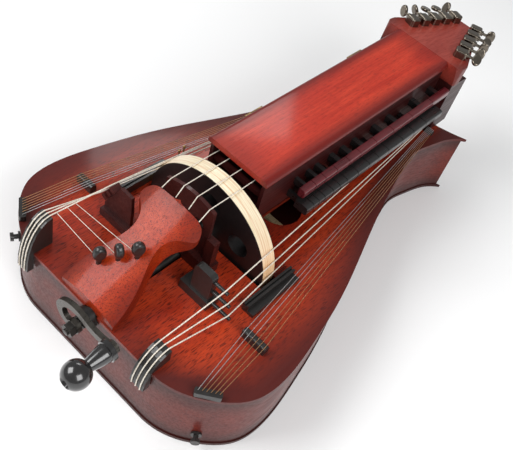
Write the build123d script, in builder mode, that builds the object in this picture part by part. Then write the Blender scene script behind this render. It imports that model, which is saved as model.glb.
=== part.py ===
from build123d import *
import math
import os

os.makedirs("parts", exist_ok=True)

# Hurdy gurdy. +Y from the crank end to the head, +X to the key side, +Z up.
# The origin lies on the back, straight under the centre of the wheel.

# body
BODY_DEPTH = 92.0
BOARD = 4.0
RIB = 3.2
EDGE_OVERHANG = 1.2
TAIL_Y = -158.0
TAIL_HALF = 79.0
HEEL_Y = 378.0
HEEL_HALF = 98.0
HEEL_HOLLOW = 20.0
TOP_Z = BODY_DEPTH

# wheel and its axle, which climbs a little towards the wheel
WHEEL_R = 82.5
WHEEL_W = 18.0
WHEEL_Z = TOP_Z + 2.0
AXLE_TILT = 2.9
AXLE_R = 5.0
RIM = 3.0
CHEEK = 0.6
SLOT_GAP = 2.5
CRANK_S = -178.0
CRANK_X = 52.0
CRANK_UP = 32.0
HANDLE = 38.0

# keybox
BOX_HALF = 37.0
BOX_WALL = 4.0
BOX_START = 18.0
BOX_END = 346.5
BOX_FLOOR_Z = TOP_Z + 41.0
BOX_TOP_Z = TOP_Z + 92.0
LID_HALF = BOX_HALF + 3.0
LID_START = 15.0
LID_T = 6.7
LID_GAP = 0.3
HINGE_OUT = 1.9
HINGE_DROP = 0.7
HINGE_Y = (85.0, 262.0)
HINGE_LEN = 26.0
KNUCKLE_R = 1.6
KNUCKLE_LEN = 9.0
PIN_R = 0.8

# strings
NUT_Y = 346.0
KEY_RULE = 372.0
BRIDGE_Y = -38.0
MELODY_X = (-31.0, -14.0, 4.0, 21.0)
MELODY_NUT_X = (-22.0, -8.5, 5.0, 18.5)
MELODY_NUT_Z = TOP_Z + 84.5
STRING_R = 0.5
STRING_GAP = 0.35
DRONE_R = 0.65
DRONE_ANGLES = (62.5, 73.0, 83.5)
TROMPETTE_ANGLES = (-59.0, -66.0, -73.0)
SIDE_NUT_X = (46.5, 51.5, 50.0)
SIDE_NUT_Z = (TOP_Z + 30.0, TOP_Z + 17.0, TOP_Z + 7.0)

# keys
KEY_W = 7.0
KEY_H = 8.0
KEY_TRAVEL = 5.0
KEY_PLAY = 0.3
UPPER_Z = TOP_Z + 66.0
LOWER_Z = TOP_Z + 51.0
UPPER_KEYS = (1, 3, 6, 8, 11, 13, 15, 18, 20, 23)
KEY_COUNT = 24
UPPER_HEAD = (BOX_HALF + 12.0, BOX_HALF + 20.0)
LOWER_HEAD = (BOX_HALF + 13.5, BOX_HALF + 30.5)
HEAD_GAP = 0.8

# head
HEAD_PLATE = 7.0
HEAD_WALL = 4.0
HEAD_DEPTH = 24.0
HEAD_SLOPE = 8.0
HEAD_LEN = 121.0
HEAD_HALF = 57.0
HEAD_END_HALF = 17.0
HEAD_SHOULDER = 18.0
BLOCK_END = 386.0
TUNERS = 5
TUNER_FIRST = 27.0
TUNER_PITCH = 20.0
TUNER_IN = 30.0
TUNER_END = 9.2
TUNER_SPLAY = 22.0

# melody tailpiece and bridge
MELODY_AXIS = -7.0


def save(shape, label):
    shape.label = label
    export_step(shape, f"parts/{label}.step")


def group(shapes, label):
    save(Compound(children=list(shapes)), label)


SIDE_POINTS = (
    (TAIL_HALF, TAIL_Y),
    (138.0, -136.0),
    (162.5, -108.0),
    (169.0, -69.0),
    (161.5, -19.0),
    (147.0, 42.0),
    (120.5, 120.0),
    (92.0, 203.0),
    (75.0, 262.0),
    (69.8, 308.0),
    (77.0, 343.0),
    (HEEL_HALF, HEEL_Y),
)


def body_face(inset):
    """Plan outline of the body, drawn in by the inset."""
    guide = Edge.make_spline(
        [Vector(*p) for p in SIDE_POINTS], tangents=[Vector(1, 0), Vector(0.62, 1)]
    )
    points = []
    for k in range(19):
        ahead = guide.tangent_at(k / 18)
        points.append(guide.position_at(k / 18) + Vector(-ahead.Y, ahead.X, 0) * inset)
    over = points[-1] + ahead * 14
    hollow_r = (HEEL_HALF ** 2 + HEEL_HOLLOW ** 2) / (2 * HEEL_HOLLOW)
    with BuildSketch() as plan:
        with BuildLine():
            Spline(points)
            Polyline(points[-1], over, (0, over.Y), (0, TAIL_Y + inset), points[0])
        make_face()
        mirror(about=Plane.YZ)
        with Locations((0, HEEL_Y - HEEL_HOLLOW + hollow_r)):
            Circle(hollow_r + inset + 0.1, mode=Mode.SUBTRACT)
    return plan.sketch


def axle_plane(s):
    """Plane square to the axle, s along it from the wheel's centre."""
    tilt = math.radians(AXLE_TILT)
    along = Vector(0, math.cos(tilt), math.sin(tilt))
    centre = Vector(0, 0, WHEEL_Z) + along * s
    return Plane(origin=centre, x_dir=(1, 0, 0), z_dir=along)


def rim_point(angle, lift):
    """Point the lift above the rim's edge on the head side, the angle measured from the top."""
    a = math.radians(angle)
    r = WHEEL_R + lift
    edge = axle_plane(WHEEL_W / 2 - CHEEK)
    return edge.from_local_coords(Vector(r * math.sin(a), -r * math.cos(a), 0))


def rod(start, end, radius):
    """Round bar from one point to the other."""
    start = Vector(*start)
    end = Vector(*end)
    with BuildPart() as bar:
        with BuildSketch(Plane(origin=start, z_dir=end - start)):
            Circle(radius)
        extrude(amount=(end - start).length)
    return bar.part


def string(points, radius):
    """Round string laid through the points, rounded at each bend."""
    points = [Vector(*p) for p in points]
    with BuildPart() as strand:
        for start, end in zip(points, points[1:]):
            add(rod(start, end, radius))
        for bend in points[1:-1]:
            with Locations(bend):
                Sphere(radius)
    return strand.part


def block(x0, x1, y0, y1, z0, z1):
    """Box between two corners."""
    with BuildPart() as solid:
        with Locations(((x0 + x1) / 2, (y0 + y1) / 2, (z0 + z1) / 2)):
            Box(x1 - x0, y1 - y0, z1 - z0)
    return solid.part


# ---- body ----

SLOT_HALF = WHEEL_R + 3.5
SLOT_Y = WHEEL_W / 2 + SLOT_GAP
SOUND_HOLE = (23.0, 86.0, 26.0)
PLINTH_HALF = 20.0

BEARING_R = 8.5
INNER_R = 8.0
AXLE_END = 46.0
HUB_R = 14.0
HUB_T = 5.0
BEARER_Y = 24.0
BEARER_T = 14.0
CHANNEL_END = AXLE_END + 3.0

with BuildPart() as soundboard:
    with BuildSketch(Plane.XY.offset(TOP_Z - BOARD)):
        add(body_face(0))
    extrude(amount=BOARD)
    # Slots let the wheel, its hub and the axle through.
    with BuildSketch(Plane.XY.offset(TOP_Z - BOARD - 1)):
        Rectangle(2 * SLOT_HALF, 2 * SLOT_Y)
        Rectangle(2 * HUB_R + 4, WHEEL_W + 2 * HUB_T + 4)
        for start, end, half in (
            (TAIL_Y - 5, TAIL_Y + 25, BEARING_R + 0.6),
            (TAIL_Y, CHANNEL_END, AXLE_R + 1.8),
            (0, CHANNEL_END, INNER_R + 0.6),
        ):
            with Locations((0, (start + end) / 2)):
                Rectangle(2 * half, end - start)
        for side in (-1, 1):
            with Locations((side * SOUND_HOLE[0], SOUND_HOLE[1])):
                Circle(SOUND_HOLE[2])
        with Locations((0, SOUND_HOLE[1])):
            Rectangle(2 * (PLINTH_HALF + 1), 2 * SOUND_HOLE[2] + 2, mode=Mode.SUBTRACT)
    extrude(amount=BOARD + 2, mode=Mode.SUBTRACT)
save(soundboard.part, "soundboard")

with BuildPart() as back_plate:
    with BuildSketch():
        add(body_face(0))
    extrude(amount=BOARD)
save(back_plate.part, "back_plate")


def axle_way():
    """Clear way for the axle and its two bearings."""
    with BuildPart() as way:
        for start, end, radius in (
            (TAIL_Y - 20, AXLE_END + 3, AXLE_R + 1.5),
            (TAIL_Y - 20, TAIL_Y + 24, BEARING_R + 0.4),
            (BEARER_Y - 3, BEARER_Y + BEARER_T + 4, INNER_R + 0.4),
        ):
            with BuildSketch(axle_plane(start)):
                Circle(radius)
            extrude(amount=end - start)
    return way.part


with BuildPart() as ribs:
    with BuildSketch(Plane.XY.offset(BOARD)):
        add(body_face(EDGE_OVERHANG))
        add(body_face(EDGE_OVERHANG + RIB), mode=Mode.SUBTRACT)
    extrude(amount=BODY_DEPTH - 2 * BOARD)
    with BuildSketch(axle_plane(-175)):
        Circle(BEARING_R + 0.4)
    extrude(amount=40, mode=Mode.SUBTRACT)
save(ribs.part, "ribs")

# The tail block carries the crank bearing, and the heel block the head.
TAIL_IN = TAIL_Y + EDGE_OVERHANG + RIB
BLOCK_T = 22.0
with BuildPart() as tail_block:
    add(block(-62, 62, TAIL_IN, TAIL_IN + BLOCK_T, BOARD, TOP_Z - BOARD))
    with BuildSketch(axle_plane(-175)):
        Circle(BEARING_R + 0.4)
    extrude(amount=60, mode=Mode.SUBTRACT)
HEEL_IN = HEEL_Y - HEEL_HOLLOW - EDGE_OVERHANG - RIB
heel_block = block(-52, 52, HEEL_IN - 30, HEEL_IN - 1, BOARD, TOP_Z - BOARD)
group([tail_block.part, heel_block], "end_blocks")

# Cross braces under the soundboard and on the back, and a deep one under the inner bearing.
with BuildPart() as bearer:
    add(block(-118, 118, BEARER_Y, BEARER_Y + BEARER_T, BOARD, TOP_Z - BOARD))
    add(axle_way(), mode=Mode.SUBTRACT)
    for side in (-1, 1):
        with Locations((side * 66, BEARER_Y + BEARER_T / 2, 46)):
            Box(70, BEARER_T + 2, 44, mode=Mode.SUBTRACT)
braces = [bearer.part]
for y, half in ((-88.0, 150.0), (-36.0, 148.0), (128.0, 104.0), (196.0, 82.0), (262.0, 64.0)):
    braces.append(block(-half, half, y - 4, y + 4, BOARD, BOARD + 12))
for y, half in ((128.0, 104.0), (196.0, 82.0), (262.0, 64.0)):
    braces.append(block(-half, half, y - 4, y + 4, TOP_Z - BOARD - 12, TOP_Z - BOARD))
for side in (-1, 1):
    x = side * 104.0
    braces.append(block(x - 4, x + 4, -120, 14, TOP_Z - BOARD - 12, TOP_Z - BOARD))
group(braces, "braces")

# ---- wheel, axle and crank ----

HOLE_CIRCLE = 50.0
HOLE_R = 13.0
with BuildPart() as wheel_disc:
    with BuildSketch(axle_plane(-WHEEL_W / 2)):
        Circle(WHEEL_R - 0.3)
        Circle(AXLE_R + 0.03, mode=Mode.SUBTRACT)
        with PolarLocations(HOLE_CIRCLE, 6, start_angle=-30):
            Circle(HOLE_R, mode=Mode.SUBTRACT)
    extrude(amount=WHEEL_W)
    with BuildSketch(axle_plane(-WHEEL_W / 2 + CHEEK)):
        Circle(WHEEL_R + 1)
        Circle(WHEEL_R - RIM, mode=Mode.SUBTRACT)
    extrude(amount=WHEEL_W - 2 * CHEEK, mode=Mode.SUBTRACT)
save(wheel_disc.part, "wheel_disc")

with BuildPart() as wheel_rim:
    with BuildSketch(axle_plane(-WHEEL_W / 2 + CHEEK + 0.02)):
        Circle(WHEEL_R)
        Circle(WHEEL_R - RIM + 0.02, mode=Mode.SUBTRACT)
    extrude(amount=WHEEL_W - 2 * CHEEK - 0.04)
save(wheel_rim.part, "wheel_rim")

ARM_T = 5.0
NUT_T = 7.0
THREAD_R = 3.5
with BuildPart() as axle:
    with BuildSketch(axle_plane(CRANK_S + ARM_T)):
        Circle(AXLE_R)
    extrude(amount=AXLE_END - CRANK_S - ARM_T)
    with BuildSketch(axle_plane(CRANK_S - NUT_T - 2)):
        Circle(THREAD_R)
    extrude(amount=NUT_T + 2 + ARM_T)
save(axle.part, "axle")

with BuildPart() as hub_flanges:
    for s in (-WHEEL_W / 2 - HUB_T, WHEEL_W / 2):
        with BuildSketch(axle_plane(s)):
            Circle(HUB_R)
            Circle(AXLE_R + 0.03, mode=Mode.SUBTRACT)
        extrude(amount=HUB_T)

# The arm hooks up and over from the hub to the knob.
ARM_W = 8.5
ARM_LINE = ((0, 0), (-16, 3), (-19, 15), (-8, 29), (8, 32), (24, 27), (38, 27), (CRANK_X, CRANK_UP))
KNOB_PIN = 3.0
with BuildPart() as crank_arm:
    with BuildSketch(axle_plane(CRANK_S)) as arm_plan:
        with BuildLine() as arm_line:
            Spline([(x, -up) for x, up in ARM_LINE])
        trace(line_width=ARM_W)
        Circle(8)
        with Locations((CRANK_X, -CRANK_UP)):
            Circle(6.5)
        Circle(THREAD_R + 0.03, mode=Mode.SUBTRACT)
    extrude(amount=ARM_T)
    with BuildSketch(axle_plane(CRANK_S - HANDLE - 4)):
        with Locations((CRANK_X, -CRANK_UP)):
            Circle(KNOB_PIN)
    extrude(amount=HANDLE + 4)
save(crank_arm.part, "crank_arm")

with BuildPart() as crank_nut:
    with BuildSketch(axle_plane(CRANK_S - NUT_T)):
        RegularPolygon(7.5, 6)
        Circle(THREAD_R + 0.03, mode=Mode.SUBTRACT)
    extrude(amount=NUT_T)
with BuildPart() as collar:
    with BuildSketch(axle_plane(CRANK_S + ARM_T + 2)):
        RegularPolygon(8, 6)
        Circle(AXLE_R + 0.03, mode=Mode.SUBTRACT)
    extrude(amount=5)
group([crank_nut.part, collar.part] + list(hub_flanges.part.solids()), "wheel_fittings")

# Turned knob: base disc, tapering grip and a ball with a dished end.
BALL_R = 13.8
BALL_S = -HANDLE + 1.0
BALL_REACH = math.sqrt(BALL_R ** 2 - 36)
NECK = BALL_S + BALL_REACH
END_S = BALL_S - BALL_REACH
PIN_S = -HANDLE - 4.4
with BuildPart() as crank_knob:
    knob_side = Plane(
        origin=axle_plane(CRANK_S).from_local_coords(Vector(CRANK_X, -CRANK_UP, 0)),
        x_dir=(1, 0, 0),
        z_dir=Vector(0, -math.sin(math.radians(AXLE_TILT)), math.cos(math.radians(AXLE_TILT))),
    )
    with BuildSketch(knob_side):
        with BuildLine():
            Polyline((KNOB_PIN + 0.1, -0.4), (10.8, -0.4), (10.8, -5), (9.4, -5.4), (9.4, -7.5))
            Spline([(9.4, -7.5), (8.0, -16), (6.0, NECK)])
            ThreePointArc((6.0, NECK), (BALL_R, BALL_S), (6.0, END_S))
            Polyline((6.0, END_S), (4.0, BALL_S - 9), (0, BALL_S - 9), (0, PIN_S))
            Polyline((0, PIN_S), (KNOB_PIN + 0.1, PIN_S), (KNOB_PIN + 0.1, -0.4))
        make_face()
    revolve(axis=Axis(knob_side.origin, -knob_side.y_dir))
save(crank_knob.part, "crank_knob")

with BuildPart() as tail_bearing:
    with BuildSketch(axle_plane(TAIL_Y - 6)):
        Circle(12)
        Circle(AXLE_R + 0.05, mode=Mode.SUBTRACT)
    extrude(amount=5)
    with BuildSketch(axle_plane(TAIL_Y - 2)):
        Circle(BEARING_R)
        Circle(AXLE_R + 0.05, mode=Mode.SUBTRACT)
    extrude(amount=24)
with BuildPart() as inner_bearing:
    with BuildSketch(axle_plane(BEARER_Y - 0.6)):
        Circle(INNER_R)
        Circle(AXLE_R + 0.05, mode=Mode.SUBTRACT)
    extrude(amount=BEARER_T + 1.5)

# ---- keybox ----


def key_y(n):
    """Distance rule for semitone n, measured from the nut."""
    return NUT_Y - KEY_RULE * (1 - 2 ** (-n / 12))


ROWS = {
    "upper": [n for n in range(1, KEY_COUNT + 1) if n in UPPER_KEYS],
    "lower": [n for n in range(1, KEY_COUNT + 1) if n not in UPPER_KEYS],
}


def row_z(n):
    return UPPER_Z if n in UPPER_KEYS else LOWER_Z


def shank_w(n):
    """Shanks narrow where the notes crowd together."""
    return min(KEY_W, 0.75 * (key_y(n) - key_y(n + 1)))


INNER = BOX_HALF - BOX_WALL
with BuildPart() as keybox:
    add(block(-BOX_HALF, BOX_HALF, BOX_START, BOX_END, BOX_FLOOR_Z, BOX_TOP_Z))
    add(
        block(-INNER, INNER, BOX_START - 1, BOX_END - 8, BOX_FLOOR_Z + 3, BOX_TOP_Z + 1),
        mode=Mode.SUBTRACT,
    )
    # The far wall is low enough for the strings to cross its nut.
    add(block(-28, 28, BOX_END - 9, BOX_END + 1, MELODY_NUT_Z - 6, BOX_TOP_Z + 1), mode=Mode.SUBTRACT)
    for n in range(1, KEY_COUNT + 1):
        y = key_y(n)
        w = shank_w(n) / 2 + KEY_PLAY
        h = KEY_H / 2 + KEY_PLAY
        z = row_z(n)
        add(block(-BOX_HALF - 1, BOX_HALF + 1, y - w, y + w, z - h, z + h), mode=Mode.SUBTRACT)
save(keybox.part, "keybox")

# Cross bars tie the walls at the wheel end.
shelf = block(-INNER, INNER, BOX_START + 3, BOX_START + 8, TOP_Z + 68, TOP_Z + 74)
top_bar = block(-INNER, INNER, BOX_START + 1, BOX_START + 6, BOX_TOP_Z - 4.5, BOX_TOP_Z)
nut_bar = block(-28, 28, NUT_Y - 3, NUT_Y, MELODY_NUT_Z - 6, MELODY_NUT_Z - STRING_R - STRING_GAP)

# A narrow plinth lifts the keybox off the soundboard and holds the inner bearing.
with BuildPart() as plinth:
    add(block(-PLINTH_HALF, PLINTH_HALF, BEARER_Y, 344, TOP_Z, BOX_FLOOR_Z))
    add(block(-PLINTH_HALF + 6, PLINTH_HALF - 6, 52, 332, TOP_Z - 1, BOX_FLOOR_Z + 1), mode=Mode.SUBTRACT)
    add(axle_way(), mode=Mode.SUBTRACT)
group([plinth.part, shelf, top_bar], "keybox_frame")
save(nut_bar, "nut")

LID_Z = BOX_TOP_Z + LID_GAP
with BuildPart() as lid:
    with BuildSketch(Plane.XZ.offset(-LID_START)):
        with Locations((0, LID_Z + LID_T / 2)):
            Rectangle(2 * LID_HALF, LID_T)
    extrude(amount=-(BOX_END - 0.5 - LID_START))
    long_top = lid.edges().filter_by(Axis.Y).group_by(Axis.Z)[-1]
    fillet(long_top, radius=5.5)

# ---- lid hinges ----

HINGE_X = -LID_HALF - HINGE_OUT
HINGE_Z = LID_Z - HINGE_DROP


def hinge_rod(y0, y1, radius, bore=0.0):
    """Round length on the lid's hinge axis."""
    with BuildPart() as barrel:
        with BuildSketch(Plane(origin=(HINGE_X, y0, HINGE_Z), z_dir=(0, 1, 0))):
            Circle(radius)
            if bore:
                Circle(bore, mode=Mode.SUBTRACT)
        extrude(amount=y1 - y0)
    return barrel.part


lid_knuckles = []
hinge_leaves = []
for y in HINGE_Y:
    low, high = y - HINGE_LEN / 2, y + HINGE_LEN / 2
    near, far = y - KNUCKLE_LEN / 2, y + KNUCKLE_LEN / 2
    with BuildPart() as lid_knuckle:
        add(hinge_rod(near, far, KNUCKLE_R, PIN_R + 0.05))
        add(block(HINGE_X + PIN_R + 0.1, -LID_HALF, near, far, HINGE_Z - 0.4, LID_Z + 0.9))
    lid_knuckles.append(lid_knuckle.part)
    with BuildPart() as leaf:
        add(block(-BOX_HALF - 1, -BOX_HALF, low, high, HINGE_Z - 9, HINGE_Z - 0.3))
        for y0, y1 in ((low, near - 0.3), (far + 0.3, high)):
            add(block(HINGE_X, -BOX_HALF, y0, y1, HINGE_Z - 1.4, HINGE_Z - 0.3))
            add(hinge_rod(y0, y1, KNUCKLE_R))
        add(hinge_rod(low, high, PIN_R))
    hinge_leaves.append(leaf.part)
group([lid.part] + lid_knuckles, "lid")

# ---- keys ----


def melody_x(i, y):
    """Sideways place of melody string i at y, between wheel and nut."""
    t = (y - WHEEL_W / 2) / (NUT_Y - WHEEL_W / 2)
    return MELODY_X[i] + (MELODY_NUT_X[i] - MELODY_X[i]) * t


TANGENT_T = 3.0
TANGENT_TOP = MELODY_NUT_Z + 3.5


def head_span(n):
    """Key heads in a row fill the space up to half way to their neighbours."""
    row = ROWS["upper"] if n in UPPER_KEYS else ROWS["lower"]
    k = row.index(n)
    here = key_y(n)
    if k:
        top = (here + key_y(row[k - 1])) / 2
    else:
        top = here + (here - key_y(row[1])) / 2
    if k < len(row) - 1:
        low = (here + key_y(row[k + 1])) / 2
    else:
        low = here - (key_y(row[k - 1]) - here) / 2
    return low + HEAD_GAP / 2, top - HEAD_GAP / 2


def make_key(n):
    y = key_y(n)
    z = row_z(n)
    low, high = head_span(n)
    upper = n in UPPER_KEYS
    x0, x1 = UPPER_HEAD if upper else LOWER_HEAD
    z0 = z - (6.0 if upper else 6.5)
    z1 = z + 4.0
    w = shank_w(n) / 2
    shank = block(-BOX_HALF - 3, x0, y - w, y + w, z - KEY_H / 2, z + KEY_H / 2)
    with BuildPart() as touch:
        add(block(x0, x1, low, high, z0, z1))
        outer = touch.edges().filter_by(Axis.Y).group_by(Axis.X)[-1]
        fillet(outer, radius=2.2 if upper else 3.0)
    pins = []
    for i in range(len(MELODY_X)):
        face = melody_x(i, y) + STRING_R + STRING_GAP + KEY_TRAVEL
        pins.append(
            block(face, face + TANGENT_T, y - 0.6 * w, y + 0.6 * w, z + KEY_H / 2, TANGENT_TOP)
        )
    group([shank, touch.part] + pins, f"key_{n:02d}")


for n in range(1, KEY_COUNT + 1):
    make_key(n)

# ---- head ----

SLOPE = math.radians(HEAD_SLOPE)
LID_TOP = LID_Z + LID_T
head_top = Plane(
    origin=(0, BOX_END, LID_TOP),
    x_dir=(1, 0, 0),
    z_dir=(0, math.sin(SLOPE), math.cos(SLOPE)),
)
POST_R = 2.5
POST_IN = 3.2
POST_DEPTH = 18.0
COIL = 0.9
HOUSING = (16.0, 13.0, 10.0)
SPLAY = math.radians(TUNER_SPLAY)


def tuner_spot(side, k, along):
    """Spot in the head's top plane, the given distance out from tuner k's inner end."""
    x = TUNER_IN + (TUNER_END - TUNER_IN) * k / (TUNERS - 1)
    y = TUNER_FIRST + k * TUNER_PITCH
    return side * (x + along * math.cos(SPLAY)), y + along * math.sin(SPLAY)


def head_face(inset):
    """Tapered plan of the head, in the plane of its top."""
    with BuildSketch() as plan:
        with BuildLine():
            Polyline(
                (HEAD_HALF, 0),
                (HEAD_HALF, HEAD_SHOULDER),
                (HEAD_END_HALF, HEAD_LEN),
                (-HEAD_END_HALF, HEAD_LEN),
                (-HEAD_HALF, HEAD_SHOULDER),
                (-HEAD_HALF, 0),
                close=True,
            )
        make_face()
        if inset:
            offset(amount=-inset, kind=Kind.INTERSECTION)
        else:
            fillet(plan.vertices().group_by(Axis.Y)[-1], radius=11)
            fillet(plan.vertices().group_by(Axis.Y)[0], radius=8)
    return plan.sketch


with BuildPart() as head:
    with BuildSketch(head_top):
        add(head_face(0))
    extrude(amount=-HEAD_DEPTH)
    with BuildSketch(head_top.offset(-HEAD_PLATE)):
        add(head_face(HEAD_WALL))
    extrude(amount=-HEAD_DEPTH, mode=Mode.SUBTRACT)
    # The tuners' posts pass through the plate.
    with BuildSketch(head_top.offset(1)):
        for side in (-1, 1):
            for k in range(TUNERS):
                with Locations(tuner_spot(side, k, POST_IN)):
                    Circle(POST_R + 0.3)
    extrude(amount=-HEAD_PLATE - 2, mode=Mode.SUBTRACT)
    # The front is square to the lid's end, and the strings come in over the nut.
    add(block(-80, 80, BOX_END - 40, BOX_END, TOP_Z + 8, TOP_Z + 148), mode=Mode.SUBTRACT)
    add(block(-28, 28, BOX_END - 1, BOX_END + 12, MELODY_NUT_Z - 9, MELODY_NUT_Z + 4), mode=Mode.SUBTRACT)
save(head.part, "head")

FERRULE_R = 2.4
with BuildPart() as head_block:
    add(block(-HEAD_HALF + 1, HEAD_HALF - 1, BOX_END + 0.5, BLOCK_END, TOP_Z, TOP_Z + 83))
    add(
        block(-HEAD_HALF + 4, HEAD_HALF - 4, BOX_END + 12, BLOCK_END - 8, TOP_Z + 4, TOP_Z + 84),
        mode=Mode.SUBTRACT,
    )
    with BuildSketch(head_top.offset(-HEAD_DEPTH)):
        Rectangle(300, 400)
    extrude(amount=60, mode=Mode.SUBTRACT)
    for side in (-1, 1):
        for x, z in zip(SIDE_NUT_X, SIDE_NUT_Z):
            with BuildSketch(Plane(origin=(side * x, BOX_END, z), z_dir=(0, 1, 0))):
                Circle(FERRULE_R + 0.03)
            extrude(amount=13, mode=Mode.SUBTRACT)
save(head_block.part, "head_block")

ferrules = []
for side in (-1, 1):
    for x, z in zip(SIDE_NUT_X, SIDE_NUT_Z):
        with BuildPart() as ferrule:
            with BuildSketch(Plane(origin=(side * x, BOX_END + 0.2, z), z_dir=(0, 1, 0))):
                Circle(FERRULE_R)
                Circle(DRONE_R + STRING_GAP, mode=Mode.SUBTRACT)
            extrude(amount=9)
        ferrules.append(ferrule.part)

# Sealed tuners: a housing on the plate, a post through it, and a button on a short shaft.
SHAFT_R = 1.8
SHAFT_UP = 5.0
BUTTON_OUT = 13.0


def shaft_plane(side, k, beyond):
    """Plane square to tuner k's shaft, beyond the outer end of its housing."""
    x, y = tuner_spot(side, k, HOUSING[0] + beyond)
    spot = head_top.from_local_coords(Vector(x, y, SHAFT_UP))
    inner = head_top.from_local_coords(Vector(*tuner_spot(side, k, 0), SHAFT_UP))
    return Plane(origin=spot, x_dir=(0, math.sin(SLOPE), math.cos(SLOPE)), z_dir=spot - inner)


housings = []
for side in (-1, 1):
    for k in range(TUNERS):
        with BuildPart() as housing:
            with BuildSketch(head_top):
                with Locations(
                    Location((*tuner_spot(side, k, HOUSING[0] / 2), 0), (0, 0, side * TUNER_SPLAY))
                ):
                    RectangleRounded(HOUSING[0], HOUSING[1], 3)
            extrude(amount=HOUSING[2])
            top = housing.faces().sort_by(Axis.Z)[-1]
            fillet(top.edges(), radius=2.0)
            with BuildSketch(head_top):
                with Locations(tuner_spot(side, k, POST_IN)):
                    Circle(POST_R)
            extrude(amount=-POST_DEPTH)
            with BuildSketch(shaft_plane(side, k, -0.5)):
                Circle(3.4)
            extrude(amount=3)
            with BuildSketch(shaft_plane(side, k, -6)):
                Circle(SHAFT_R + 0.06)
            extrude(amount=12, mode=Mode.SUBTRACT)
        housings.append(housing.part)
group(housings, "tuner_housings")

BUTTON_TURN = {-1: (80, 62, 12, 8, 100), 1: (30, 70, 95, 10, 85)}
for side in (-1, 1):
    for k in range(TUNERS):
        across = shaft_plane(side, k, BUTTON_OUT)
        turn = math.radians(BUTTON_TURN[side][k])
        spread = across.x_dir * math.cos(turn) + across.y_dir * math.sin(turn)
        flat = Plane(origin=across.origin, x_dir=across.z_dir, z_dir=spread)
        with BuildPart() as button:
            with BuildSketch(flat.offset(-2.2)):
                Ellipse(5.8, 8)
            extrude(amount=4.4)
            fillet(button.edges(), radius=1.5)
            with BuildSketch(shaft_plane(side, k, -5.5)):
                Circle(SHAFT_R)
            extrude(amount=BUTTON_OUT + 4)
        save(button.part, f"button_{'left' if side < 0 else 'right'}_{k + 1}")

# ---- played strings ----

TAIL_FRONT = TAIL_Y + 22.0
DRONE_TAIL_X = (70.5, 76.0, 81.5)
TROMPETTE_TAIL_X = (-87.5, -91.5, -95.5)
HOLDER_DROP = 24.0
DRONE_TAIL_H = 16.0
TROMPETTE_TAIL_H = 38.0
DRONE_BRIDGE_Y = -68.0
TROMPETTE_BRIDGE_Y = -70.0


def tail_curve(height, drop):
    """(y, z) points of the quarter-round over a string holder, front to foot."""
    points = []
    for step in range(8):
        a = math.radians(step * 90 / 7)
        y = TAIL_FRONT - (TAIL_FRONT - TAIL_Y + 8) * math.sin(a)
        points.append((y, TOP_Z - drop + (height + drop) * math.cos(a)))
    return points


def side_line(angle, nut_x, nut_z):
    """Contact point on the rim and the nut end of a side string."""
    side = -1 if angle < 0 else 1
    contact = rim_point(angle, DRONE_R + STRING_GAP)
    nut = Vector(side * nut_x, BOX_END + 4, nut_z)
    return contact, nut


def on_line(a, b, y):
    t = (y - a.Y) / (b.Y - a.Y)
    return a + (b - a) * t


DRONES = [side_line(a, x, z) for a, x, z in zip(DRONE_ANGLES, SIDE_NUT_X, SIDE_NUT_Z)]
TROMPETTES = [side_line(a, x, z) for a, x, z in zip(TROMPETTE_ANGLES, SIDE_NUT_X, SIDE_NUT_Z)]

# The tailpiece's nose bows back a little to each side of its axis.
NOSE_Y = TAIL_Y + 108.0
FRONT_BOW = 2.5
BOW_AT = 24.0
FRONT_Z = TOP_Z + 74.0
BRIDGE_T = 4.0


def front_y(x):
    """Front of the tailpiece at x."""
    return NOSE_Y - FRONT_BOW * ((x - MELODY_AXIS) / BOW_AT) ** 2


def wound(route, side, k, depth, inward, radius):
    """String laid along the route and wound on tuner k's post."""
    post = Vector(*tuner_spot(side, k, POST_IN))
    reach = POST_R + 0.1 + radius
    end = head_top.from_local_coords(Vector(post.X - inward * side * reach, post.Y, -depth))
    with BuildPart() as strand:
        add(string(list(route) + [end], radius))
        with BuildSketch(head_top.offset(-depth - 2)):
            with Locations((post.X, post.Y)):
                Circle(POST_R + 0.1 + COIL)
                Circle(POST_R + 0.1, mode=Mode.SUBTRACT)
        extrude(amount=4)
    return strand.part


played = []
for i in range(len(MELODY_X)):
    side = -1 if i < 2 else 1
    crown = WHEEL_R + STRING_R + STRING_GAP
    angle = math.degrees(math.asin(MELODY_X[i] / crown))
    contact = rim_point(angle, STRING_R + STRING_GAP)
    start = Vector(MELODY_X[i], front_y(MELODY_X[i]) + 0.9, FRONT_Z)
    over = Vector(MELODY_X[i], BRIDGE_Y - BRIDGE_T / 2 - 0.4, contact.Z)
    nut = Vector(MELODY_NUT_X[i], NUT_Y - 1.5, MELODY_NUT_Z)
    k = 3 if i in (0, 3) else 4
    played.append(wound([start, over, contact, nut], side, k, HEAD_PLATE + 5, 1, STRING_R))

for lines, xs, height, drop, y in (
    (DRONES, DRONE_TAIL_X, DRONE_TAIL_H, HOLDER_DROP, DRONE_BRIDGE_Y),
    (TROMPETTES, TROMPETTE_TAIL_X, TROMPETTE_TAIL_H, HOLDER_DROP, TROMPETTE_BRIDGE_Y),
):
    for i, x in enumerate(xs):
        contact, nut = lines[i]
        side = 1 if nut.X > 0 else -1
        saddle = on_line(contact, nut, y)
        lift = DRONE_R + STRING_GAP
        tail = [Vector(x, a - lift * 0.9, b + lift * 0.9) for a, b in tail_curve(height, drop)]
        through = Vector(nut.X, BOX_END + 15, nut.Z)
        rise = Vector(side * (42 + i), BOX_END + 23, TOP_Z + 74 - i)
        route = tail[::-1] + [saddle, contact, nut, through]
        if i:
            route.append(rise)
        played.append(wound(route, side, i, HEAD_PLATE + 6, -1, DRONE_R))

# ---- melody tailpiece and bridge ----

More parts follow.
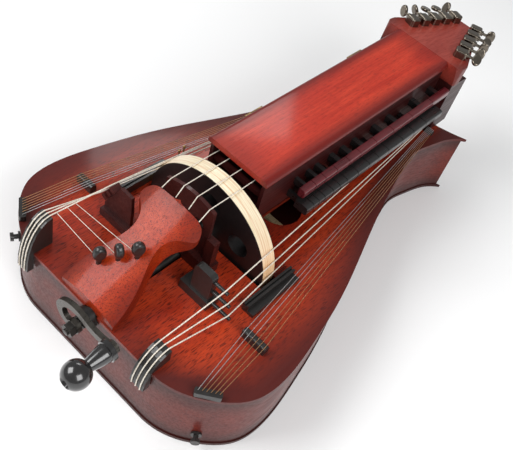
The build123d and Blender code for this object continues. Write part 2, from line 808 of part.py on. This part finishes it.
RAMP_START = TOP_Z + 11.0
RAMP_END = TOP_Z + 75.0
FRONT_Y = TAIL_Y + 104.0
CROWN_R = 110.0
RAMP = math.atan2(RAMP_END - RAMP_START, FRONT_Y - TAIL_Y)
ramp_out = Vector(0, -math.sin(RAMP), math.cos(RAMP))
ramp_dir = Vector(0, math.cos(RAMP), math.sin(RAMP))
with BuildPart() as tailpiece:
    with BuildSketch(Plane.XY.offset(TOP_Z)):
        with BuildLine():
            Spline(
                [
                    (36, TAIL_Y + 1.5),
                    (33.5, TAIL_Y + 22),
                    (26, TAIL_Y + 43),
                    (18.5, TAIL_Y + 61),
                    (18, TAIL_Y + 71),
                    (24, TAIL_Y + 82),
                    (33, TAIL_Y + 89),
                    (38.5, TAIL_Y + 95.5),
                    (36, TAIL_Y + 102),
                    (BOW_AT, NOSE_Y - FRONT_BOW),
                    (0, NOSE_Y),
                ]
            )
            Line((0, NOSE_Y), (0, TAIL_Y + 1.5))
            Line((0, TAIL_Y + 1.5), (36, TAIL_Y + 1.5))
        make_face()
        mirror(about=Plane.YZ)
    extrude(amount=90)
    with BuildSketch(Plane.YZ.offset(-60)):
        with BuildLine():
            Polyline(
                (TAIL_Y + 56, TOP_Z),
                (TAIL_Y, TOP_Z),
                (TAIL_Y, RAMP_START + 1.5),
                (FRONT_Y, RAMP_END + 1.5),
                (TAIL_Y + 116, RAMP_END + 5),
                (TAIL_Y + 116, TOP_Z + 64),
                (TAIL_Y + 100, TOP_Z + 62),
            )
            ThreePointArc(
                (TAIL_Y + 100, TOP_Z + 62), (TAIL_Y + 74, TOP_Z + 28), (TAIL_Y + 56, TOP_Z)
            )
        make_face()
    extrude(amount=120, mode=Mode.INTERSECT)
    # The top is crowned across its width.
    with BuildSketch(Plane(origin=Vector(0, TAIL_Y, RAMP_START + 1.5) - ramp_out * CROWN_R, z_dir=ramp_dir)):
        Circle(CROWN_R)
    extrude(amount=200, both=True, mode=Mode.INTERSECT)
tailpiece_part = tailpiece.part.moved(Location((MELODY_AXIS, 0, 0)))


def on_ramp(x, y):
    """Point on the tailpiece's sloping top."""
    return Vector(x, y, RAMP_START + (y - TAIL_Y) * math.tan(RAMP))


PEGS = ((-24.0, 28.0, 65), (-11.5, 40.0, -25), (1.0, 51.5, 60))
PEG_R = 2.6
peg_solids = []
with BuildPart() as drilled:
    add(tailpiece_part)
    add(axle_way(), mode=Mode.SUBTRACT)
    for x, along, turn in PEGS:
        foot = on_ramp(x, TAIL_Y + along)
        with BuildSketch(Plane(origin=foot + Vector(0, 0, 4), z_dir=(0, 0, -1))):
            Circle(PEG_R + 0.1)
        extrude(amount=14, mode=Mode.SUBTRACT)
save(drilled.part, "tailpiece")

threads = []
for i, (x, along, turn) in enumerate(PEGS):
    foot = on_ramp(x, TAIL_Y + along)
    across = (math.sin(math.radians(turn)), -math.cos(math.radians(turn)), 0)
    bead = Plane(origin=foot + Vector(0, 0, 12.8), x_dir=(0, 0, 1), z_dir=across)
    with BuildPart() as peg:
        with BuildSketch(bead.offset(-3.8)):
            Ellipse(8.6, 6.6)
        extrude(amount=7.6)
        fillet(peg.edges(), radius=3.0)
        with BuildSketch(Plane(origin=foot - Vector(0, 0, 9))):
            Circle(PEG_R)
        extrude(amount=15)
    peg_solids.append(peg.part)
    # A silk thread draws each trompette string towards its peg.
    contact, nut = TROMPETTES[i]
    saddle = on_line(contact, nut, TROMPETTE_BRIDGE_Y)
    front = Vector(TROMPETTE_TAIL_X[i], TAIL_FRONT, TOP_Z + TROMPETTE_TAIL_H + 0.7)
    hold = on_line(front, saddle, foot.Y)
    start = foot + Vector(-PEG_R - 0.3, 0, 3.8)
    threads.append(rod(start, hold + Vector(DRONE_R + 0.3, 0, 0), 0.3))
group(played + threads, "played_strings")

with BuildPart() as melody_bridge:
    with BuildSketch(Plane.XZ.offset(-BRIDGE_Y - BRIDGE_T / 2)):
        with Locations((MELODY_AXIS + 2, TOP_Z + 53)):
            Rectangle(64, 74)
        with Locations((0, WHEEL_Z + 0.4)):
            Circle(WHEEL_R - 0.05, mode=Mode.INTERSECT)
        with Locations((MELODY_AXIS + 2, TOP_Z + 24)):
            SlotOverall(34, 14, mode=Mode.SUBTRACT)
        for x in (-22.0, 12.0):
            with Locations((x, TOP_Z + 54)):
                Circle(6.5, mode=Mode.SUBTRACT)
    extrude(amount=BRIDGE_T)
    add(block(-40, 28, BRIDGE_Y - 10, BRIDGE_Y + 10, TOP_Z, TOP_Z + 16))
    add(block(27, 40, BRIDGE_Y - 8, BRIDGE_Y + 8, TOP_Z, TOP_Z + 12))
    add(block(27, 38, BRIDGE_Y - 4, BRIDGE_Y + 4, TOP_Z, TOP_Z + 46))
    add(axle_way(), mode=Mode.SUBTRACT)

# The trompette bridge has a slanting outer edge, with a buzzing dog under each string.
EDGE_A = on_line(*TROMPETTES[0], TROMPETTE_BRIDGE_Y)
EDGE_B = on_line(*TROMPETTES[2], TROMPETTE_BRIDGE_Y)
edge_dir = Vector(EDGE_B.X - EDGE_A.X, 0, EDGE_B.Z - EDGE_A.Z).normalized()
edge_in = Vector(-edge_dir.Z, 0, edge_dir.X)
if edge_in.X < 0:
    edge_in = edge_in * -1
DOG_T = 7.0
UNDER = DRONE_R + STRING_GAP + 0.35
top_out = EDGE_A + edge_in * (DOG_T + UNDER) - edge_dir * 12
low_out = EDGE_B + edge_in * (DOG_T + UNDER) + edge_dir * 10
with BuildPart() as trompette_bridge:
    with BuildSketch(Plane.XZ.offset(-TROMPETTE_BRIDGE_Y - BRIDGE_T / 2)):
        with BuildLine():
            Polyline(
                (top_out.X, top_out.Z),
                (low_out.X, low_out.Z),
                (low_out.X, TOP_Z + 10),
                (-46, TOP_Z + 10),
                (-46, TOP_Z + 34),
                (top_out.X + 16, top_out.Z - 1),
                close=True,
            )
        make_face()
    extrude(amount=BRIDGE_T)
    add(
        block(low_out.X - 2, -44, TROMPETTE_BRIDGE_Y - 6, TROMPETTE_BRIDGE_Y + 6, TOP_Z, TOP_Z + 10)
    )
dogs = []
for lines in TROMPETTES:
    spot = on_line(*lines, TROMPETTE_BRIDGE_Y)
    seat = spot - edge_in * -UNDER
    with BuildPart() as dog:
        with BuildSketch(Plane(origin=seat, x_dir=edge_dir, z_dir=edge_in)):
            Rectangle(5.5, 10)
        extrude(amount=DOG_T - 0.05)
    dogs.append(dog.part)
group([melody_bridge.part, trompette_bridge.part] + dogs, "bridges")

# ---- drone and trompette tailpieces ----


def string_holder(x0, x1, height, drop):
    """Block hooked over the tail edge, curved under its strings."""
    curve = tail_curve(height, drop)
    with BuildPart() as holder:
        with BuildSketch(Plane.YZ.offset(x0)):
            with BuildLine():
                Line((TAIL_FRONT, TOP_Z), curve[0])
                Polyline(*curve)
                Polyline(
                    curve[-1],
                    (TAIL_Y - 0.2, TOP_Z - drop),
                    (TAIL_Y - 0.2, TOP_Z),
                    (TAIL_FRONT, TOP_Z),
                )
            make_face()
        extrude(amount=x1 - x0)
    return holder.part


bourdon_holder = string_holder(67, 85, DRONE_TAIL_H, HOLDER_DROP)
trompette_holder = string_holder(-99, -84, TROMPETTE_TAIL_H, HOLDER_DROP)

# ---- fittings at the sides ----

SYMPATHETIC_R = 0.35
SYMPATHETIC_Y = -63.0
SYMPATHETIC_TOP = TOP_Z + 10.0
ANCHOR = (133.0, -135.0)
ANCHOR_TURN = 36.0
END_X = (54.0, 62.0)
END_Y = 342.0
END_TOP = TOP_Z + 5.0
SIDE_STRINGS = {-1: 7, 1: 6}
SIDE_BRIDGE = {-1: (112.0, 134.0), 1: (109.0, 138.0)}

side_pieces = []
anchors = []
sympathetic = []
for side in (-1, 1):
    with BuildPart() as rail:
        add(block(88.5, 95.5, -44, 27, TOP_Z, TOP_Z + 11))
        add(block(95, 103, -44, 27, TOP_Z, TOP_Z + 4.5))
        add(block(91, 93, -45, 28, TOP_Z + 8.5, TOP_Z + 12), mode=Mode.SUBTRACT)
    x0, x1 = SIDE_BRIDGE[side]
    with BuildPart() as low_bridge:
        add(block(x0, x1, SYMPATHETIC_Y - 4, SYMPATHETIC_Y + 4, TOP_Z, SYMPATHETIC_TOP))
        ridge = low_bridge.edges().filter_by(Axis.X).group_by(Axis.Z)[-1]
        fillet(ridge, radius=3)
    end_strip = block(END_X[0] - 3, END_X[1] + 2, END_Y - 2, END_Y + 3, TOP_Z, END_TOP)
    with BuildPart() as anchor:
        with BuildSketch(Plane.XY.offset(TOP_Z)):
            with Locations(Location((*ANCHOR, 0), (0, 0, ANCHOR_TURN))):
                RectangleRounded(26, 7, 2)
        extrude(amount=7)
    for solid in (rail.part, low_bridge.part, end_strip):
        side_pieces.append(solid if side > 0 else mirror(solid, about=Plane.YZ))
    anchors.append(anchor.part if side > 0 else mirror(anchor.part, about=Plane.YZ))
    count = SIDE_STRINGS[side]
    lift = SYMPATHETIC_R + STRING_GAP
    for i in range(count):
        t = i / (count - 1)
        a = math.radians(ANCHOR_TURN)
        along = 10 * (2 * t - 1)
        hitch = Vector(ANCHOR[0] + along * math.cos(a), ANCHOR[1] + along * math.sin(a), TOP_Z + 7 + lift)
        over = Vector(x0 + 2 + (x1 - x0 - 4) * t, SYMPATHETIC_Y, SYMPATHETIC_TOP + lift)
        end = Vector(END_X[0] + (END_X[1] - END_X[0]) * t, END_Y + 4, END_TOP + lift)
        points = [Vector(side * p.X, p.Y, p.Z) for p in (hitch, over, end)]
        sympathetic.append(string(points, SYMPATHETIC_R))
group(sympathetic, "sympathetic_strings")
group([bourdon_holder, trompette_holder] + anchors, "string_holders")

# The bourdon bridge carries a dowel under each string.
DOWEL_R = 2.0
with BuildPart() as bourdon_bridge:
    add(block(30, 68, DRONE_BRIDGE_Y - 6, DRONE_BRIDGE_Y + 12, TOP_Z, TOP_Z + 12))
    add(block(42, 66, DRONE_BRIDGE_Y - 4, DRONE_BRIDGE_Y + 4, TOP_Z + 11, TOP_Z + 48))
    shoulder = bourdon_bridge.edges().filter_by(Axis.Y).group_by(Axis.Z)[-1]
    fillet(shoulder, radius=5)
    for lines in DRONES:
        spot = on_line(*lines, DRONE_BRIDGE_Y)
        low = spot.Z - DRONE_R - STRING_GAP - DOWEL_R
        add(rod((58, DRONE_BRIDGE_Y, low), (spot.X + 3, DRONE_BRIDGE_Y, low), DOWEL_R))
side_pieces.append(bourdon_bridge.part)
group(side_pieces, "side_fittings")

# ---- pegs and strap pins ----


def strap_pin(side, reach, z):
    """Turned button standing square on the rib."""
    guide = Edge.make_spline(
        [Vector(*p) for p in SIDE_POINTS], tangents=[Vector(1, 0), Vector(0.62, 1)]
    )
    at = guide.position_at(reach)
    ahead = guide.tangent_at(reach)
    out = Vector(side * ahead.Y, -ahead.X, 0)
    base = Vector(side * at.X, at.Y, z) - out * (EDGE_OVERHANG - 0.2)
    with BuildPart() as pin:
        for start, length, radius in ((0, 2, 5.5), (1.5, 6, 2.6), (6.5, 3.5, 4.6)):
            with BuildSketch(Plane(origin=base + out * start, z_dir=out)):
                Circle(radius)
            extrude(amount=length)
    return pin.part


strap_pins = [strap_pin(-1, 0.075, 70), strap_pin(1, 0.1, 20)]
group(peg_solids + strap_pins, "pegs")

# ---- brass fittings ----

lifters = []
for x, rise in ((-80.5, 39.0), (-86.0, 28.0)):
    with BuildPart() as lifter:
        with Locations((x, 32, TOP_Z)):
            Cylinder(0.9, rise, align=(Align.CENTER, Align.CENTER, Align.MIN))
            Cylinder(2.6, 2, align=(Align.CENTER, Align.CENTER, Align.MIN))
        with Locations((x, 32, TOP_Z + rise)):
            Sphere(1.7)
    lifters.append(lifter.part)
group([tail_bearing.part, inner_bearing.part] + ferrules + lifters + hinge_leaves, "brass_fittings")
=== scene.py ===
import bpy
import math
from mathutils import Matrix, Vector


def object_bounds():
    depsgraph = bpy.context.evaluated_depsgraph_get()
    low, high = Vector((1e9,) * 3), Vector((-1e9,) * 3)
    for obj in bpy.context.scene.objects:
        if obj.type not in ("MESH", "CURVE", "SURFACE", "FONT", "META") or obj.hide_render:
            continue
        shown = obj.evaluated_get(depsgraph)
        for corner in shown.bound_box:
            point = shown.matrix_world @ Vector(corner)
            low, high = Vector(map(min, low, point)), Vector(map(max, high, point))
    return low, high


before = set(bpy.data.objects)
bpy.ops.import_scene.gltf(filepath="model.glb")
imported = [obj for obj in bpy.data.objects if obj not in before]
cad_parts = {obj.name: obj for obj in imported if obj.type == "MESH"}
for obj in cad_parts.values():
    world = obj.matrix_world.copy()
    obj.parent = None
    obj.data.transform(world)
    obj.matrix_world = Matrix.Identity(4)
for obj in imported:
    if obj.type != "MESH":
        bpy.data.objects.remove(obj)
cadLow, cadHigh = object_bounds()
print("frame loaded", len(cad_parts), "nodes")


class Wire:
    # One output socket. Arithmetic on it adds Math nodes.
    def __init__(self, tree, socket):
        self.tree = tree
        self.socket = socket

    def math(self, kind, *others):
        node = self.tree.nodes.new("ShaderNodeMath")
        node.operation = kind
        for place, value in enumerate((self,) + others):
            plug(self.tree, value, node.inputs[place])
        return Wire(self.tree, node.outputs[0])

    def __add__(self, other):
        return self.math("ADD", other)

    def __radd__(self, other):
        return self.math("ADD", other)

    def __sub__(self, other):
        return self.math("SUBTRACT", other)

    def __rsub__(self, other):
        return (self * -1) + other

    def __mul__(self, other):
        return self.math("MULTIPLY", other)

    def __rmul__(self, other):
        return self.math("MULTIPLY", other)

    def __truediv__(self, other):
        return self.math("DIVIDE", other)

    def size(self):
        return self.math("ABSOLUTE")

    def above(self, other):
        return self.math("GREATER_THAN", other)

    def least(self, other):
        return self.math("MINIMUM", other)

    def most(self, other):
        return self.math("MAXIMUM", other)


def plug(tree, value, target):
    if isinstance(value, Wire):
        tree.links.new(value.socket, target)
    elif isinstance(value, tuple) and target.type == "RGBA" and len(value) == 3:
        target.default_value = (*value, 1.0)
    else:
        target.default_value = value


class Paint:
    # A material whose nodes are added one call at a time.
    def __init__(self, name, **constants):
        self.material = bpy.data.materials.new(name)
        self.material.use_nodes = True
        self.tree = self.material.node_tree
        self.shader = self.tree.nodes["Principled BSDF"]
        for key, value in constants.items():
            self.set(key, value)

    def set(self, key, value):
        plug(self.tree, value, self.shader.inputs[key.replace("_", " ").title().replace("Ior", "IOR")])

    def node(self, kind, settings=None, inputs=None, output=0):
        node = self.tree.nodes.new(kind)
        for key, value in (settings or {}).items():
            setattr(node, key, value)
        for key, value in (inputs or {}).items():
            plug(self.tree, value, node.inputs[key])
        return Wire(self.tree, node.outputs[output])

    def place(self):
        return self.node("ShaderNodeTexCoord", output=3)

    def axes(self):
        node = self.tree.nodes.new("ShaderNodeSeparateXYZ")
        plug(self.tree, self.place(), node.inputs[0])
        return [Wire(self.tree, socket) for socket in node.outputs]

    def noise(self, stretch, detail=3.0, rough=0.55, vector=None, turn=0.0):
        where = vector or self.place()
        scaled = self.node("ShaderNodeVectorMath", {"operation": "MULTIPLY"}, {0: where, 1: stretch})
        sockets = {"Vector": scaled, "Scale": 1.0, "Detail": detail, "Roughness": rough, "Distortion": turn}
        return self.node("ShaderNodeTexNoise", {}, sockets)

    def span(self, value, low, high, start=0.0, end=1.0, smooth=True):
        kind = {"interpolation_type": "SMOOTHSTEP" if smooth else "LINEAR"}
        return self.node(
            "ShaderNodeMapRange", kind,
            {"Value": value, "From Min": low, "From Max": high, "To Min": start, "To Max": end},
        )

    def mix(self, share, first, second):
        return self.node("ShaderNodeMix", {"data_type": "RGBA"}, {0: share, 6: first, 7: second}, 2)

    def bump(self, height, strength, distance):
        sockets = {"Height": height, "Strength": strength, "Distance": distance}
        self.set("normal", self.node("ShaderNodeBump", {}, sockets))


def plain(name, colour, roughness, metallic=0.0, coat=0.0, grain=260.0):
    # A colour with slight unevenness in shade and polish.
    paint = Paint(name, metallic=metallic, coat_weight=coat, coat_roughness=0.12)
    patch = paint.noise((grain, grain, grain), 4.0)
    darker = tuple(c * 0.82 for c in colour)
    paint.set("base_color", paint.mix(paint.span(patch, 0.35, 0.65), darker, colour))
    paint.set("roughness", paint.span(patch, 0.3, 0.7, roughness * 0.85, roughness * 1.2))
    return paint


woodValues = {
    "coat": 0.22,
    "coatRoughness": 0.1,
    "roughness": 0.42,
    "specular": 0.22,
    "poreDepth": 0.00012,
}


def wood(name, dark, middle, bright, burstAndShade, poreShade, coat=None):
    # Varnished wood with its grain along y. The burst gives 0 in the heart and 1 at the dark edge; for the
    # soundboard and tailpiece it also holds painted shade.
    gloss = woodValues["coat"] if coat is None else coat
    paint = Paint(name, coat_weight=gloss, coat_roughness=woodValues["coatRoughness"])
    paint.set("specular_ior_level", woodValues["specular"])
    x, y, z = paint.axes()
    grain = paint.noise((420.0, 9.0, 420.0), 4.0, 0.6)
    pores = paint.noise((1100.0, 120.0, 1100.0), 2.0, 0.5)
    figure = paint.noise((38.0, 7.0, 38.0), 3.0, 0.5, turn=0.6)
    edge = burstAndShade(paint, x, y, z)
    heart = paint.mix(paint.span(figure, 0.3, 0.7), middle, bright)
    shaded = paint.mix(paint.span(grain, 0.35, 0.72, 0.0, 0.35), heart, tuple(c * 0.45 for c in middle))
    poreMask = paint.span(pores, 0.52, 0.66) * poreShade
    pored = paint.mix(poreMask, shaded, tuple(c * 0.25 for c in dark))
    shade = (edge + (figure - 0.5) * 0.25).least(1.0).most(0.0)
    paint.set("base_color", paint.mix(shade, pored, dark))
    polish = woodValues["roughness"]
    paint.set("roughness", paint.span(grain, 0.3, 0.7, polish * 0.8, polish * 1.25))
    paint.bump(pores * 0.6 + grain * 0.4, 0.12, woodValues["poreDepth"])
    return paint


def bodyBurstAndShade(paint, x, y, z):
    # Dark towards the outline of the pear-shaped boards, with painted shade on the board along and under the
    # keybox.
    width = paint.span(y, -0.02, 0.27, 0.166, 0.072)
    width = width.least(paint.span(y, -0.175, -0.085, 0.085, 0.168))
    side = x.size() / width
    tail = paint.span(y, -0.150, -0.115, 0.55, 0.0)
    # Painted shade: the board darkens near the centre line past y = 0.06, where the keybox shades it.
    keyboxShade = paint.span(x.size(), 0.028, 0.062, 0.55, 0.0) * paint.span(y, 0.02, 0.06)
    return (paint.span(side, 0.62, 0.98, 0.0, 0.95).most(tail)).most(keyboxShade)


def lidBurst(paint, x, y, z):
    ends = paint.span((y - 0.18).size(), 0.12, 0.168, 0.0, 0.5)
    return paint.span(x.size(), 0.018, 0.039, 0.0, 0.85).most(ends)


def ribBurst(paint, x, y, z):
    return paint.span((z - 0.046).size(), 0.012, 0.044, 0.25, 0.9)


def sideBurst(paint, x, y, z):
    return x * 0 + 0.8


def headBurst(paint, x, y, z):
    lowSide = paint.span(z, 0.160, 0.176, 1.0, 0.0)
    return lowSide.most(paint.span(x.size(), 0.035, 0.058, 0.0, 0.6))


def tailpieceBurstAndShade(paint, x, y, z):
    # Darker towards the flanks and the front end: a dark-edged finish with painted shade on the flanks,
    # centred 7 mm to -x so the +x flank gets the most painted shade.
    nose = paint.span(y, -0.075, -0.052, 0.0, 0.5)
    return paint.span((x + 0.007).size(), 0.010, 0.036, 0.0, 0.7).most(nose)


def innerBurst(paint, x, y, z):
    return x * 0


woodShades = {
    "board": ("boardWood", (0.075, 0.010, 0.008), (0.30, 0.020, 0.006), (0.52, 0.050, 0.012)),
    "ribs": ("ribWood", (0.030, 0.005, 0.004), (0.13, 0.012, 0.007), (0.22, 0.022, 0.010)),
    "lid": ("lidWood", (0.085, 0.006, 0.006), (0.44, 0.024, 0.010), (0.62, 0.050, 0.020)),
    "head": ("headWood", (0.035, 0.005, 0.005), (0.30, 0.034, 0.022), (0.38, 0.052, 0.034)),
    "dark": ("darkMahogany", (0.022, 0.004, 0.004), (0.08, 0.008, 0.007), (0.11, 0.013, 0.010)),
    "tailpiece": ("tailpieceWood", (0.085, 0.007, 0.004), (0.36, 0.022, 0.003), (0.50, 0.045, 0.006)),
    "rosewood": ("rosewoodDark", (0.015, 0.004, 0.004), (0.045, 0.008, 0.007), (0.07, 0.014, 0.011)),
    "inner": ("innerWood", (0.30, 0.18, 0.09), (0.55, 0.38, 0.21), (0.66, 0.48, 0.28)),
}
# Burst function, pore shade and coat per part; the soundboard and tailpiece burst functions include painted
# shade.
woodFinishAndShade = {
    "board": (bodyBurstAndShade, 0.75, None), "ribs": (ribBurst, 0.45, None), "lid": (lidBurst, 0.3, None),
    "head": (headBurst, 0.2, None), "dark": (sideBurst, 0.45, None),
    "tailpiece": (tailpieceBurstAndShade, 0.7, None), "rosewood": (innerBurst, 0.45, 0.25),
    "inner": (innerBurst, 0.45, 0.0),
}
paints = {}
for key, shades in woodShades.items():
    burstAndShade, poreShade, gloss = woodFinishAndShade[key]
    paints[key] = wood(*shades, burstAndShade, poreShade, coat=gloss)
paints["ebony"] = plain("ebony", (0.016, 0.014, 0.013), 0.36, coat=0.3)
paints["black"] = plain("blackDisc", (0.010, 0.007, 0.007), 0.42)
paints["knob"] = plain("knobGloss", (0.012, 0.011, 0.011), 0.22, coat=0.9)
paints["darkSteel"] = plain("darkSteel", (0.07, 0.065, 0.06), 0.34, metallic=0.9)
paints["greySteel"] = plain("greySteel", (0.10, 0.09, 0.078), 0.3, metallic=0.9)
paints["nickel"] = plain("smokedNickel", (0.22, 0.19, 0.155), 0.2, metallic=1.0, grain=500.0)
paints["bone"] = plain("bone", (0.74, 0.68, 0.55), 0.4)


def knuckleTint(paint):
    # The lid's hinge knuckles, past its left edge, are dark brass.
    x, y, z = paint.axes()
    edge = x.above(-0.04002)
    varnish = Wire(paint.tree, paint.shader.inputs["Base Color"].links[0].from_socket)
    paint.set("base_color", paint.mix(edge, (0.30, 0.20, 0.08), varnish))
    paint.set("metallic", 1.0 - edge)
    return paint


def rimPaint():
    # Cream maple with darker rosin lines where the strings rub, fine grain round the rim, and painted orange
    # bounce light towards its foot.
    paint = Paint("rimMaple", coat_weight=0.35, coat_roughness=0.2)
    x, y, z = paint.axes()
    streak = paint.noise((60.0, 900.0, 60.0), 3.0)
    lines = paint.noise((2.0, 520.0, 2.0), 1.0)
    cream = paint.mix(paint.span(streak, 0.35, 0.65), (0.80, 0.66, 0.44), (0.92, 0.82, 0.62))
    # Painted light: orange bounced from the red soundboard, strongest low on the rim near the board.
    low = paint.span(z, 0.10, 0.17, 0.75, 0.0)
    orangeBounceLit = paint.mix(low, cream, (0.90, 0.52, 0.25))
    paint.set("base_color", paint.mix(paint.span(lines, 0.62, 0.66) * 0.45, orangeBounceLit, (0.62, 0.24, 0.07)))
    paint.set("roughness", 0.4)
    return paint


def keyPaint():
    # Black shanks and maroon touches, which begin past the keybox.
    paint = Paint("keyWood", coat_weight=0.5, coat_roughness=0.15)
    x, y, z = paint.axes()
    grain = paint.noise((300.0, 30.0, 300.0), 3.0)
    maroon = paint.mix(paint.span(grain, 0.35, 0.65), (0.085, 0.008, 0.012), (0.16, 0.018, 0.024))
    touch = x.above(0.0489) * z.above(0.1505)
    paint.set("base_color", paint.mix(touch, (0.014, 0.013, 0.013), maroon))
    paint.set("roughness", paint.span(grain, 0.3, 0.7, 0.26, 0.38))
    return paint


def stringPaint(name, silver, bronze, edge):
    # Strings are steel, and wound bronze past the edge.
    paint = Paint(name, metallic=0.9, roughness=0.32)
    x, y, z = paint.axes()
    wrap = paint.noise((900.0, 2400.0, 900.0), 1.0)
    outer = paint.span(y, -0.16, 0.35, edge, edge * 0.5)
    shade = paint.mix(x.size().above(outer), silver, bronze)
    groove = tuple(c * 0.5 for c in silver)
    paint.set("base_color", paint.mix(paint.span(wrap, 0.4, 0.6) * 0.35, shade, groove))
    return paint


def bearingPaint():
    # Brass, blackened at the tail where the crank's bushing leaves the body.
    paint = Paint("bearingBrass", roughness=0.34)
    x, y, z = paint.axes()
    patch = paint.noise((260.0, 260.0, 260.0), 4.0)
    brass = paint.mix(paint.span(patch, 0.35, 0.65), (0.34, 0.22, 0.08), (0.50, 0.35, 0.14))
    black = paint.span(y, -0.150, -0.140, 1.0, 0.0)
    paint.set("base_color", paint.mix(black, brass, (0.012, 0.011, 0.010)))
    paint.set("metallic", paint.span(y, -0.150, -0.140, 0.0, 1.0))
    return paint


def gutPaint():
    # Pale gut over the wheel; the drones are silver-wound, but get the same pale gut here.
    paint = Paint("gut", roughness=0.38, metallic=0.0)
    x, y, z = paint.axes()
    wrap = paint.noise((500.0, 1500.0, 500.0), 1.0)
    paint.set("base_color", paint.mix(paint.span(wrap, 0.4, 0.6), (0.60, 0.52, 0.42), (0.82, 0.77, 0.68)))
    return paint


knuckleTint(paints["lid"])
paints["rim"] = rimPaint()
paints["key"] = keyPaint()
paints["sympathetic"] = stringPaint("stringSteel", (0.72, 0.72, 0.72), (0.60, 0.30, 0.12), 0.127)
paints["gut"] = gutPaint()
paints["bearing"] = bearingPaint()
print("materials made", len(paints))

nodePaint = {
    "soundboard": "board", "back_plate": "ribs", "ribs": "ribs", "end_blocks": "inner", "braces": "inner",
    "wheel_disc": "black", "wheel_rim": "rim", "axle": "darkSteel", "crank_arm": "greySteel",
    "crank_knob": "knob", "wheel_fittings": "darkSteel", "brass_fittings": "bearing", "keybox": "dark",
    "keybox_frame": "dark", "lid": "lid", "head": "head", "head_block": "dark", "nut": "bone",
    "tuner_housings": "nickel", "tailpiece": "tailpiece", "bridges": "rosewood", "string_holders": "ebony",
    "side_fittings": "ebony", "pegs": "ebony", "played_strings": "gut", "sympathetic_strings": "sympathetic",
}
for name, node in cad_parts.items():
    if name.startswith("key_"):
        paint = paints["key"]
    elif name.startswith("button_"):
        paint = paints["nickel"]
    else:
        paint = paints[nodePaint[name]]
    node.data.materials.clear()
    node.data.materials.append(paint.material)
print("nodes painted")


stageValues = {
    "floorSize": 12.0,
    "floorColour": (0.96, 0.96, 0.96),
    "keyPower": 34.0,
    "fillPower": 26.0,
    "stripPower": 1.6,
    "sky": 0.34,
}

bpy.ops.object.select_all(action="DESELECT")
bpy.ops.mesh.primitive_plane_add(size=stageValues["floorSize"], location=(0.0, 0.0, cadLow.z - 0.0005))
floor = bpy.context.object
floor.name = "floor"
floorPaint = Paint("floorPaint", base_color=stageValues["floorColour"], roughness=0.9)
floor.data.materials.append(floorPaint.material)


def areaLight(name, place, target, size, power):
    data = bpy.data.lights.new(name, "AREA")
    data.shape = "RECTANGLE"
    data.size = size[0]
    data.size_y = size[1]
    data.energy = power
    light = bpy.data.objects.new(name, data)
    bpy.context.scene.collection.objects.link(light)
    light.location = place
    light.rotation_euler = (Vector(target) - Vector(place)).to_track_quat("-Z", "Y").to_euler()
    return light


areaLight("keyLight", (-1.1, -1.0, 1.7), (0.0, 0.05, 0.1), (1.4, 1.2), stageValues["keyPower"])
areaLight("fillLight", (1.5, -0.5, 1.3), (0.0, 0.0, 0.1), (1.2, 1.2), stageValues["fillPower"])
areaLight("stripLight", (-0.62, 0.72, 0.95), (0.0, 0.1, 0.15), (0.5, 0.12), stageValues["stripPower"])
bpy.context.scene.view_settings.view_transform = "Standard"

world = bpy.data.worlds.new("studio")
world.use_nodes = True
background = world.node_tree.nodes["Background"]
background.inputs[0].default_value = (0.98, 0.99, 1.0, 1.0)
background.inputs[1].default_value = stageValues["sky"]
bpy.context.scene.world = world

cameraValues = {
    "place": (0.28268, -0.42428, 0.69952),
    "turn": (39.90035, -12.25158, 42.91738),
    "lens": 53.04,
}
cameraData = bpy.data.cameras.new("camera")
cameraData.lens = cameraValues["lens"]
cameraData.sensor_width = 36.0
camera = bpy.data.objects.new("camera", cameraData)
camera.location = cameraValues["place"]
camera.rotation_euler = [math.radians(a) for a in cameraValues["turn"]]
bpy.context.scene.collection.objects.link(camera)
bpy.context.scene.camera = camera
print("stage set")
